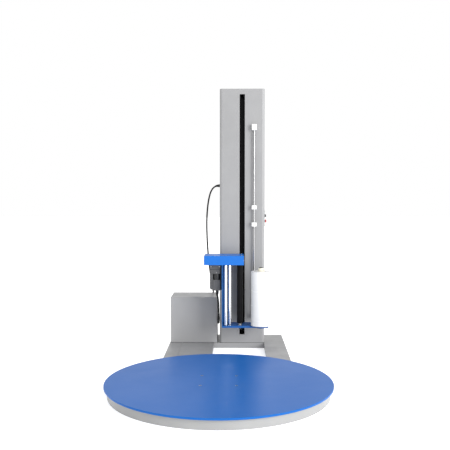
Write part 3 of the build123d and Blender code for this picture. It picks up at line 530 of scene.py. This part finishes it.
# ---------------------------------------------------------------- shapes
# Shared by several pieces: the angle of a sharp edge, the broken edge of a seam, and sizes of screws.
sharp_angle = math.radians(35)
seam_edge = 0.0002
screw_head = 0.009
small_head = 0.006
small_rise = 0.0018
up = (0, 0, 1)
down = (0, 0, -1)


def dress(names, make):
    """Give CAD pieces a finish."""
    material = finish(make)
    for name in names.split():
        slots = nodes[name].data.materials
        if len(slots) == 0:
            slots.append(material)
        for index in range(len(slots)):
            slots[index] = material


def add_piece(name, shape, make, body=None, smooth=True):
    """Turn a bmesh into a piece with a finish, which rides on a body."""
    mesh = bpy.data.meshes.new(name)
    bmesh.ops.recalc_face_normals(shape, faces=shape.faces)
    shape.to_mesh(mesh)
    shape.free()
    mesh.materials.append(finish(make))
    if smooth:
        mesh.shade_smooth()
        mesh.set_sharp_from_angle(angle=sharp_angle)
    piece = bpy.data.objects.new(name, mesh)
    bpy.context.scene.collection.objects.link(piece)
    if body:
        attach(piece, body)
    return piece


def circle(centre, across, beside, radius, sides):
    """Points of a circle in the plane of two directions."""
    turns = [2 * math.pi * n / sides for n in range(sides)]
    return [centre + radius * (math.cos(turn) * across + math.sin(turn) * beside) for turn in turns]


def turned_rings(profile, centre, along, sides):
    """Circles along an axis. The profile is pairs of distance along it and radius."""
    centre = Vector(centre)
    along = Vector(along).normalized()
    across = along.orthogonal().normalized()
    beside = along.cross(across)
    return [
        circle(centre + distance * along, across, beside, radius, sides)
        for distance, radius in profile
    ]


def tube_rings(path, radius, sides):
    """Circles square to a path, carried along it without twisting."""
    rings = []
    across = None
    for n, here in enumerate(path):
        before = path[max(n - 1, 0)]
        after = path[min(n + 1, len(path) - 1)]
        along = (after - before).normalized()
        across = along.orthogonal() if across is None else across - across.dot(along) * along
        across.normalize()
        rings.append(circle(here, across, along.cross(across), radius, sides))
    return rings


def corners(shape, rings):
    """The corners of each ring, added to a shape."""
    return [[shape.verts.new(point) for point in ring] for ring in rings]


def skin(shape, loops):
    """Faces from each loop of corners to the next."""
    for low, high in zip(loops, loops[1:]):
        for n in range(len(low)):
            m = (n + 1) % len(low)
            shape.faces.new((low[n], low[m], high[m], high[n]))


def solid(shape, rings):
    """A solid through rings, capped at its first and last one."""
    loops = corners(shape, rings)
    skin(shape, loops)
    shape.faces.new(loops[0][::-1])
    shape.faces.new(loops[-1])


def turned(shape, profile, centre, along, sides):
    """A turned solid, whose profile runs from end to end."""
    solid(shape, turned_rings(profile, centre, along, sides))


def washer(shape, profile, centre, along, sides):
    """A turned ring, whose profile is a closed outline."""
    loops = corners(shape, turned_rings(profile, centre, along, sides))
    skin(shape, loops + loops[:1])


def bar(shape, low, high, edge=0.0):
    """A bar between two corners, with its edges broken by a given width."""
    low, high = Vector(low), Vector(high)
    middle, size = (low + high) / 2, high - low
    block = bmesh.ops.create_cube(shape, size=1.0)["verts"]
    for corner in block:
        corner.co = middle + Vector(c * s for c, s in zip(corner.co, size))
    if edge:
        edges = list(dict.fromkeys(e for corner in block for e in corner.link_edges))
        bmesh.ops.bevel(shape, geom=edges, offset=edge, segments=2, affect="EDGES", profile=0.5)


def hex_screw(shape, centre, along, head, rise):
    """A hexagon head on its washer, standing on a face."""
    washer_rise = 0.0012
    washer_radius = head * 0.72
    corner_radius = head * 0.56
    chamfer = 0.0006
    flat = [(0, washer_radius), (washer_rise, washer_radius), (washer_rise + 0.0001, head * 0.5)]
    turned(shape, flat, centre, along, sides=28)
    hexagon = [(washer_rise, corner_radius), (rise - chamfer, corner_radius), (rise, head * 0.48)]
    turned(shape, hexagon, centre, along, sides=6)


def cap_screw(shape, centre, along, head, rise):
    """A button head with a sunk socket, standing on a face."""
    # The outline's heights are parts of the rise, and its widths are parts of the head's radius.
    dome = [(0, 1), (0.45, 0.98), (0.8, 0.82), (1, 0.52), (1, 0.42), (0.4, 0.40)]
    profile = [(rise * height, head / 2 * width) for height, width in dome]
    turned(shape, profile, centre, along, sides=24)


def smooth_route(points):
    """Points along the smooth line that has the given points as its control points."""
    line = bpy.data.curves.new("route", "CURVE")
    line.dimensions = "3D"
    line.resolution_u = 10
    spline = line.splines.new("NURBS")
    spline.points.add(len(points) - 1)
    for point, place in zip(spline.points, points):
        point.co = (*place, 1.0)
    spline.order_u = 3
    spline.use_endpoint_u = True
    carrier = bpy.data.objects.new("route", line)
    bpy.context.scene.collection.objects.link(carrier)
    mesh = bpy.data.meshes.new_from_object(carrier.evaluated_get(bpy.context.evaluated_depsgraph_get()))
    read = [vertex.co.copy() for vertex in mesh.vertices]
    bpy.data.objects.remove(carrier)
    bpy.data.curves.remove(line)
    bpy.data.meshes.remove(mesh)
    return read


def foot_shade_line(name, node, height):
    """A dark line round the front and sides of a box's foot, just proud of its walls: painted contact shade
    where it stands on the frame.
    """
    low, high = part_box(node)
    proud = 0.0005
    rear_gap = 0.002
    top = low.z + height
    shape = bmesh.new()
    for x in (low.x - proud, high.x - proud):
        bar(shape, (x, low.y - proud, low.z), (x + 2 * proud, high.y - rear_gap, top), seam_edge)
    bar(shape, (low.x, low.y - proud, low.z), (high.x, low.y + proud, top), seam_edge)
    add_piece(name, shape, sealant_and_contact_shade, "base")


# ---------------------------------------------------------------- pieces
# Control points of the cable's smooth line, from the mast's gland to the motor's.
cable_route = [
    (-0.0265, 1.770, 1.543),
    (-0.062, 1.770, 1.543),
    (-0.094, 1.770, 1.522),
    (-0.117, 1.771, 1.486),
    (-0.133, 1.772, 1.432),
    (-0.146, 1.772, 1.358),
    (-0.155, 1.771, 1.262),
    (-0.158, 1.770, 1.150),
    (-0.154, 1.771, 1.020),
    (-0.146, 1.772, 0.880),
    (-0.130, 1.771, 0.730),
    (-0.112, 1.771, 0.600),
    (-0.092, 1.772, 0.480),
    (-0.068, 1.773, 0.370),
    (-0.03725, 1.768, 0.285),
    (-0.03325, 1.712, 0.231),
    (-0.03325, 1.612, 0.210),
    (-0.03325, 1.470, 0.224),
    (-0.03325, 1.380, 0.252),
    (-0.0295, 1.312, 0.302),
    (-0.027, 1.262, 0.362),
    (-0.0275, 1.222, 0.430),
    (-0.031, 1.1925, 0.495),
    (-0.0395, 1.1795, 0.540),
    (-0.0395, 1.1795, 0.575),
]


class WRAPPER_OT_cable(bpy.types.Operator):
    """Hangs the cable from the mast's gland, down behind the drive box and up to the carriage's motor"""

    bl_idname = "wrapper.cable"
    bl_label = "Cable"

    def execute(self, context):
        sizes = context.scene.wrapper_sizes
        path = smooth_route(cable_route)
        shape = bmesh.new()
        solid(shape, tube_rings(path, sizes.cable_diameter / 2, sides=16))
        cable = add_piece("hanging_cable", shape, cable_sheath)
        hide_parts("festoon_cable")
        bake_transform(cable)
        return {"FINISHED"}


class WRAPPER_OT_glands(bpy.types.Operator):
    """Cable glands on the mast and the motor, each with a ribbed bend-relief boot"""

    bl_idname = "wrapper.glands"
    bl_label = "Cable glands"

    def execute(self, context):
        dress("mast_gland motor_gland", black_plastic)
        length = 0.028
        steps = 12
        wall = 0.0012
        flare = 0.0042
        rib = 0.0006
        radius = context.scene.wrapper_sizes.cable_diameter / 2
        boot = []
        for n in range(steps + 1):
            swell = flare * (1 - n / steps) ** 1.4 + (rib if n % 2 else 0.0)
            boot.append((length * n / steps, radius + wall + swell))
        start, end = cable_route[0], cable_route[-1]
        mast_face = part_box("mast_gland")[0].x
        motor_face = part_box("motor_gland")[0].z
        for name, centre, along, body in (
            ("mast_gland_boot", (mast_face, start[1], start[2]), (-1, 0, -0.12), "base"),
            ("motor_gland_boot", (end[0], end[1], motor_face), down, "carriage"),
        ):
            shape = bmesh.new()
            turned(shape, boot, centre, along, sides=32)
            add_piece(name, shape, cable_sheath, body)
        return {"FINISHED"}


class WRAPPER_OT_turntable(bpy.types.Operator):
    """Blue enamelled plate with its hub, countersunk screws, sprocket and bearing"""

    bl_idname = "wrapper.turntable"
    bl_label = "Turntable"

    def execute(self, context):
        dress("turntable_plate", table_blue_enamel)
        dress("turntable_hub table_sprocket centre_bearing", bare_steel)
        dress("turntable_screws", zinc_steel)
        return {"FINISHED"}


class WRAPPER_OT_base(bpy.types.Operator):
    """Base plate, skirt, centre post and the support wheels in their brackets"""

    bl_idname = "wrapper.base"
    bl_label = "Turntable base"

    def execute(self, context):
        dress("base_skirt", skirt_grey_powder_coat)
        dress("base_plate", frame_grey_powder_coat)
        dress("centre_post wheel_brackets", zinc_steel)
        dress("support_wheel_1 support_wheel_2 support_wheel_3 support_wheel_4", nylon)
        return {"FINISHED"}


def frame_joint_seams(width):
    """Sealed joints where the crossbar meets the legs, along its top and front."""
    low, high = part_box("crossbar")
    half = width / 2
    inset = 0.001
    proud = 0.0003
    depth = 0.003
    shape = bmesh.new()
    for x in (low.x, high.x):
        top_start = (x - half, low.y + inset, high.z - depth)
        top_end = (x + half, high.y - inset, high.z + proud)
        bar(shape, top_start, top_end, seam_edge)
        front_start = (x - half, low.y - proud, low.z + inset)
        front_end = (x + half, low.y + depth, high.z - inset)
        bar(shape, front_start, front_end, seam_edge)
    add_piece("frame_joint_seams", shape, sealant_and_contact_shade, "base")


def chain_cover_screws():
    """Two rows of flat screws down the chain cover's edges."""
    low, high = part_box("chain_cover")
    rows = 4
    side_inset = 0.014
    end_inset = 0.03
    rise = 0.0016
    pitch = (high.y - low.y - 2 * end_inset) / (rows - 1)
    screws = bmesh.new()
    for x in (low.x + side_inset, high.x - side_inset):
        for n in range(rows):
            cap_screw(screws, (x, low.y + end_inset + n * pitch, high.z), up, screw_head, rise)
    add_piece("chain_cover_screws", screws, zinc_steel, "base")


class WRAPPER_OT_floor_frame(bpy.types.Operator):
    """Grey legs, crossbar and chain cover, with sealed joints between them"""

    bl_idname = "wrapper.floor_frame"
    bl_label = "Floor frame"

    def execute(self, context):
        dress("left_leg right_leg crossbar chain_cover", frame_grey_powder_coat)
        frame_joint_seams(context.scene.wrapper_sizes.seam_width)
        chain_cover_screws()
        return {"FINISHED"}


class WRAPPER_OT_drive(bpy.types.Operator):
    """Drive box, gearmotors, chain and drive sprocket"""

    bl_idname = "wrapper.drive"
    bl_label = "Turntable drive"

    def execute(self, context):
        # The drive box gets a lighter copy of the frame grey, as painted light.
        dress("drive_box_cover", lit_box_grey_powder_coat)
        dress("drive_gearmotor lift_gearmotor", cast_grey_paint)
        dress("drive_chain drive_sprocket", bare_steel)
        # A dark line at the drive box's foot, as painted contact shade.
        foot_shade_line("drive_box_shade_line", "drive_box_cover", height=0.0030)
        return {"FINISHED"}


class WRAPPER_OT_mast(bpy.types.Operator):
    """Mast with its cap, rear cover, guide rails and screws"""

    bl_idname = "wrapper.mast"
    bl_label = "Mast"

    def execute(self, context):
        dress("mast_column mast_cap mast_rear_cover", frame_grey_powder_coat)
        dress("guide_rails", bare_steel)
        dress("cover_screws", zinc_steel)
        # A dark line at the mast's foot, as painted contact shade.
        foot_shade_line("mast_foot_shade_line", "mast_column", height=0.0034)
        return {"FINISHED"}


class WRAPPER_OT_lift(bpy.types.Operator):
    """Belt, pulleys and idler bracket inside the mast, with the trolley and its wheels"""

    bl_idname = "wrapper.lift"
    bl_label = "Lift"

    def execute(self, context):
        dress("lift_belt", belt_fabric)
        dress("lift_drive_pulley", bare_steel)
        dress("lift_idler_pulley idler_bracket trolley carriage_arm", black_powder_coat)
        dress("lower_wheel_set upper_wheel_set", black_plastic)
        return {"FINISHED"}


def head_cover_screws():
    """Screws through the sides and the top of the carriage's head cover."""
    low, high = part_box("head_cover")
    inset = 0.020
    rear_inset = 0.030
    side_height = 0.040
    rise = 0.003
    screws = bmesh.new()
    for y in (low.y + inset, high.y - rear_inset):
        for side, x in ((-1, low.x), (1, high.x)):
            cap_screw(screws, (x, y, low.z + side_height), (side, 0, 0), screw_head, rise)
    for x in (low.x + inset, high.x - inset):
        for y in (low.y + inset, high.y - inset):
            cap_screw(screws, (x, y, high.z), up, screw_head, rise)
    add_piece("head_cover_screws", screws, zinc_steel, "carriage")


class WRAPPER_OT_carriage(bpy.types.Operator):
    """Blue film carriage with its rollers, gears and motor"""

    bl_idname = "wrapper.carriage"
    bl_label = "Film carriage"

    def execute(self, context):
        dress("head_cover head_plate", carriage_blue_powder_coat)
        # The floor plate gets a darker copy of the carriage blue, as painted shade.
        dress("floor_plate", carriage_floor_shaded_powder_coat)
        dress("side_plate", carriage_side_powder_coat)
        dress("front_roller rear_roller", chrome)
        dress("guide_roller", ground_rubber)
        dress("roller_bearings motor_gear", zinc_steel)
        dress("front_roller_gear rear_roller_gear", nylon)
        dress("carriage_motor", cast_grey_paint)
        head_cover_screws()
        return {"FINISHED"}


# Heights on the carriage motor, above the foot of its case: the round neck over the case, the gear block over
# the neck, and the lid of the terminal box. The flange hangs from the head plate.
motor_neck_height = 0.097
motor_block_height = 0.152
motor_lid_start = 0.023
motor_lid_end = 0.145
motor_neck_radius = 0.033
motor_flange_depth = 0.0305


def motor_band(low, high, axis):
    """Black sleeve round the motor's neck, and a black band round its gear block."""
    end_gap = 0.001
    chamfer = 0.002
    start = low.z + motor_neck_height + end_gap
    end = low.z + motor_block_height - end_gap
    inside = motor_neck_radius + 0.0001
    shoulder = motor_neck_radius + 0.0011
    outside = motor_neck_radius + 0.0015
    sleeve = [
        (start, inside),
        (start, shoulder),
        (start + chamfer, outside),
        (end - chamfer, outside),
        (end, shoulder),
        (end, inside),
    ]
    shape = bmesh.new()
    washer(shape, sleeve, (axis.x, axis.y, 0), up, sides=72)
    proud = Vector((0.0004, 0.0004, 0))
    band_start = low.z + motor_block_height + 0.0375
    band_end = band_start + 0.005
    band_low = Vector((low.x, low.y, band_start)) - proud
    band_high = Vector((high.x, high.y, band_end)) + proud
    bar(shape, band_low, band_high, seam_edge)
    add_piece("motor_band", shape, black_plastic, "carriage")


def motor_shade_pad(low, high, axis):
    """Black pad between the motor and the carriage's side plate: painted shade in the gap between them."""
    half_depth = 0.034
    overlap = 0.0005
    gap = 0.0001
    side_plate_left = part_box("side_plate")[0].x
    pad_low = (high.x - overlap, axis.y - half_depth, low.z + 0.006)
    pad_high = (side_plate_left - gap, axis.y + half_depth, high.z - 0.003)
    pad = bmesh.new()
    bar(pad, pad_low, pad_high, 0.0005)
    add_piece("motor_shade_pad", pad, black_powder_coat, "carriage")


def motor_flange(low, high, axis):
    """Flange at the top of the gear block, and the lid of the terminal box."""
    proud = 0.001
    edge = 0.001
    head_gap = 0.0002
    half_lid = 0.026
    lid_proud = 0.0015
    flange = bmesh.new()
    flange_low = (low.x - proud, low.y - proud, high.z - motor_flange_depth)
    flange_high = (high.x + proud, high.y + proud, high.z - head_gap)
    bar(flange, flange_low, flange_high, edge)
    lid_low = (low.x - lid_proud, axis.y - half_lid, low.z + motor_lid_start)
    lid_high = (low.x + proud, axis.y + half_lid, low.z + motor_lid_end)
    bar(flange, lid_low, lid_high, edge)
    add_piece("motor_flange", flange, cast_grey_paint, "carriage")


def motor_flange_bolts(low, high, axis):
    """Bolts of the flange, the oil plug in the gear block and the screws of the terminal box's lid."""
    flange_proud = 0.001
    bolt_inset = 0.010
    bolt_z = high.z - 0.0155
    bolts = bmesh.new()
    for side, face in ((-1, low.y - flange_proud), (1, high.y + flange_proud)):
        for x in (low.x + bolt_inset, high.x - bolt_inset):
            hex_screw(bolts, (x, face, bolt_z), (0, side, 0), head=0.007, rise=0.004)
    plug = (axis.x - 0.0015, low.y, low.z + motor_block_height + 0.011)
    hex_screw(bolts, plug, (0, -1, 0), head=0.006, rise=0.003)
    lid_face = low.x - 0.0015
    lid_inset = 0.008
    half_pitch = 0.020
    for y in (axis.y - half_pitch, axis.y + half_pitch):
        for z in (low.z + motor_lid_start + lid_inset, low.z + motor_lid_end - lid_inset):
            cap_screw(bolts, (lid_face, y, z), (-1, 0, 0), small_head, small_rise)
    add_piece("motor_flange_bolts", bolts, zinc_steel, "carriage")


class WRAPPER_OT_carriage_motor(bpy.types.Operator):
    """Sleeve, band, flange, lid and bolts of the carriage's gearmotor, and the black side pad that is painted
    shade
    """

    bl_idname = "wrapper.carriage_motor"
    bl_label = "Carriage motor"

    def execute(self, context):
        gear_low, gear_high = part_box("motor_gear")
        axis = (gear_low + gear_high) / 2
        low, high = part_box("carriage_motor")
        motor_band(low, high, axis)
        # A black pad in the gap beside the motor, as painted shade.
        motor_shade_pad(low, high, axis)
        motor_flange(low, high, axis)
        motor_flange_bolts(low, high, axis)
        return {"FINISHED"}


def film_winding(layers):
    """The wound film: ridged ends and a slightly uneven side."""
    low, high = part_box("film_roll")
    core_low, core_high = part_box("film_core")
    inner = (core_high.x - core_low.x) / 2 + 0.0001
    outer = (high.x - low.x) / 2
    rim = 0.002
    drift = 0.0006
    groove = 0.0008
    lower, upper = [], []
    for n in range(layers + 1):
        radius = inner + (outer - rim - inner) * n / layers
        dip = drift * (1 + math.sin(n * 2.4)) + (groove if n % 2 else 0.0)
        lower.append((low.z + dip, radius))
        upper.append((high.z - dip, radius))
    side = []
    rows = 40
    hollow = 0.0004
    for n in range(rows + 1):
        z = low.z + rim + (high.z - low.z - 2 * rim) * n / rows
        side.append((z, outer - hollow * (1 + math.sin(n * 1.7)) / 2))
    centre = ((low.x + high.x) / 2, (low.y + high.y) / 2, 0)
    shape = bmesh.new()
    washer(shape, lower + side + upper[::-1], centre, up, sides=128)
    roll = add_piece("film_winding", shape, stretch_film, "film")
    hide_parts("film_roll")
    return centre


def spindle_shade_bush(centre):
    """Black bush in the top of the spindle, with a rounded collar: its black is painted shade down the bore.
    """
    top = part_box("film_spindle")[1].z
    bore = 0.0080
    barrel = 0.0166
    depth = 0.045
    seat = 0.0004
    collar = 0.0060
    outline = [
        (top - depth, bore),
        (top - depth, barrel),
        (top + seat, barrel),
        (top + seat, 0.0172),
        (top + 0.0050, 0.0168),
        (top + collar, 0.0156),
        (top + collar, 0.0110),
        (top + 0.0040, bore),
    ]
    bush = bmesh.new()
    washer(bush, outline, centre, up, sides=48)
    add_piece("spindle_shade_bush", bush, black_plastic, "carriage")


class WRAPPER_OT_film(bpy.types.Operator):
    """Roll of white stretch film on its card tube and cream spindle"""

    bl_idname = "wrapper.film"
    bl_label = "Film roll"

    def execute(self, context):
        dress("film_core", card_tube)
        dress("film_spindle", cream_nylon)
        centre = film_winding(context.scene.wrapper_sizes.film_turns)
        # A black bush in the mouth of the bore, as painted shade in the hole.
        spindle_shade_bush(centre)
        return {"FINISHED"}


class WRAPPER_OT_stop_rod(bpy.types.Operator):
    """Ground rod in white blocks, with the two stops that slide on it"""

    bl_idname = "wrapper.stop_rod"
    bl_label = "Stop rod"

    def execute(self, context):
        dress("stop_rod", ground_steel)
        dress("rod_brackets upper_stop_clamp lower_stop_clamp", white_plastic)
        return {"FINISHED"}


def selector_mark():
    """White pointer on the selector's face."""
    low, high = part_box("selector_knob")
    middle = (low + high) / 2
    half_width = 0.0008
    mark_low = (high.x - 0.0005, middle.y - half_width, middle.z + 0.002)
    mark_high = (high.x + 0.0003, middle.y + half_width, high.z - 0.003)
    mark = bmesh.new()
    bar(mark, mark_low, mark_high)
    add_piece("selector_mark", mark, white_plastic, "selector_knob")


def panel_screws():
    """A screw in each corner of the control panel."""
    low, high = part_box("control_panel")
    inset = 0.008
    recess = 0.005
    screws = bmesh.new()
    for y in (low.y + inset, high.y - inset):
        for z in (low.z + inset, high.z - inset):
            cap_screw(screws, (high.x - recess, y, z), (1, 0, 0), small_head, small_rise)
    add_piece("panel_screws", screws, zinc_steel, "base")


class WRAPPER_OT_controls(bpy.types.Operator):
    """Control panel with its stop button and selector"""

    bl_idname = "wrapper.controls"
    bl_label = "Controls"

    def execute(self, context):
        dress("control_panel", frame_grey_powder_coat)
        dress("stop_button", red_plastic)
        dress("selector_knob", black_plastic)
        selector_mark()
        panel_screws()
        return {"FINISHED"}


def studio_ground():
    """Plain floor, a hair under the machine's feet."""
    shape = bmesh.new()
    bmesh.ops.create_grid(shape, x_segments=8, y_segments=8, size=60.0)
    ground = add_piece("studio_floor", shape, studio_floor, smooth=False)
    ground.location = (0, 0, -0.0005)


def studio_surround(strength):
    """Even white light from all round."""
    world = bpy.data.worlds.new("studio surround")
    bpy.context.scene.world = world
    world.use_nodes = True
    surround = world.node_tree.nodes["Background"]
    surround.inputs["Color"].default_value = (1.0, 1.0, 1.0, 1.0)
    surround.inputs["Strength"].default_value = strength


def key_light(power):
    """Large soft light at the front right, aimed at the carriage."""
    place = Vector((7.2, -6.2, 3.6))
    aim = Vector((0.2, 1.0, 1.0))
    lamp = bpy.data.lights.new("key_light", "AREA")
    lamp.energy = power
    lamp.size = 5.0
    holder = bpy.data.objects.new("key_light", lamp)
    holder.location = place
    holder.rotation_euler = (aim - place).to_track_quat("-Z", "Y").to_euler()
    bpy.context.scene.collection.objects.link(holder)


def studio_camera():
    """Camera in front of the turntable, a little right of its middle, tipped slightly down."""
    tip = 2.008
    turn = 0.957
    lens = bpy.data.cameras.new("camera")
    lens.sensor_width = 36.0
    lens.lens = 51.226
    lens.shift_x = 0.00733
    lens.shift_y = 0.00331
    lens.clip_end = 300.0
    camera = bpy.data.objects.new("camera", lens)
    camera.location = (0.09786, -4.60459, 1.36115)
    camera.rotation_euler = (math.radians(90 - tip), 0, math.radians(turn))
    bpy.context.scene.collection.objects.link(camera)
    bpy.context.scene.camera = camera


class WRAPPER_OT_studio(bpy.types.Operator):
    """Plain floor, white surround, soft light and the camera"""

    bl_idname = "wrapper.studio"
    bl_label = "Studio"

    def execute(self, context):
        studio = context.scene.wrapper_studio
        studio_ground()
        studio_surround(studio.sky_strength)
        key_light(studio.key_power)
        studio_camera()
        context.scene.view_settings.view_transform = "Standard"
        return {"FINISHED"}


class WRAPPER_PT_sidebar(bpy.types.Panel):
    """Lists the wrapper's sizes, colours and building steps"""

    bl_idname = "WRAPPER_PT_sidebar"
    bl_label = "Pallet wrapper"
    bl_space_type = "VIEW_3D"
    bl_region_type = "UI"
    bl_category = "Wrapper"

    def draw(self, context):
        for group in (
            context.scene.wrapper_sizes,
            context.scene.wrapper_colours,
            context.scene.wrapper_studio,
        ):
            column = self.layout.column()
            for key in group.__annotations__:
                column.prop(group, key)
        for step in steps:
            self.layout.operator(step.bl_idname)


groups = {
    "wrapper_sizes": WrapperSizes,
    "wrapper_colours": WrapperColours,
    "wrapper_studio": WrapperStudio,
}
steps = (
    WRAPPER_OT_cable,
    WRAPPER_OT_glands,
    WRAPPER_OT_turntable,
    WRAPPER_OT_base,
    WRAPPER_OT_floor_frame,
    WRAPPER_OT_drive,
    WRAPPER_OT_mast,
    WRAPPER_OT_lift,
    WRAPPER_OT_carriage,
    WRAPPER_OT_carriage_motor,
    WRAPPER_OT_film,
    WRAPPER_OT_stop_rod,
    WRAPPER_OT_controls,
    WRAPPER_OT_studio,
)


def register():
    for key, group in groups.items():
        bpy.utils.register_class(group)
        setattr(bpy.types.Scene, key, PointerProperty(type=group))
    for step in steps:
        bpy.utils.register_class(step)
    bpy.utils.register_class(WRAPPER_PT_sidebar)


def unregister():
    bpy.utils.unregister_class(WRAPPER_PT_sidebar)
    for step in reversed(steps):
        bpy.utils.unregister_class(step)
    for key, group in groups.items():
        delattr(bpy.types.Scene, key)
        bpy.utils.unregister_class(group)


def main():
    register()
    for step in steps:
        family, name = step.bl_idname.split(".")
        getattr(getattr(bpy.ops, family), name)()


if __name__ == "__main__":
    main()
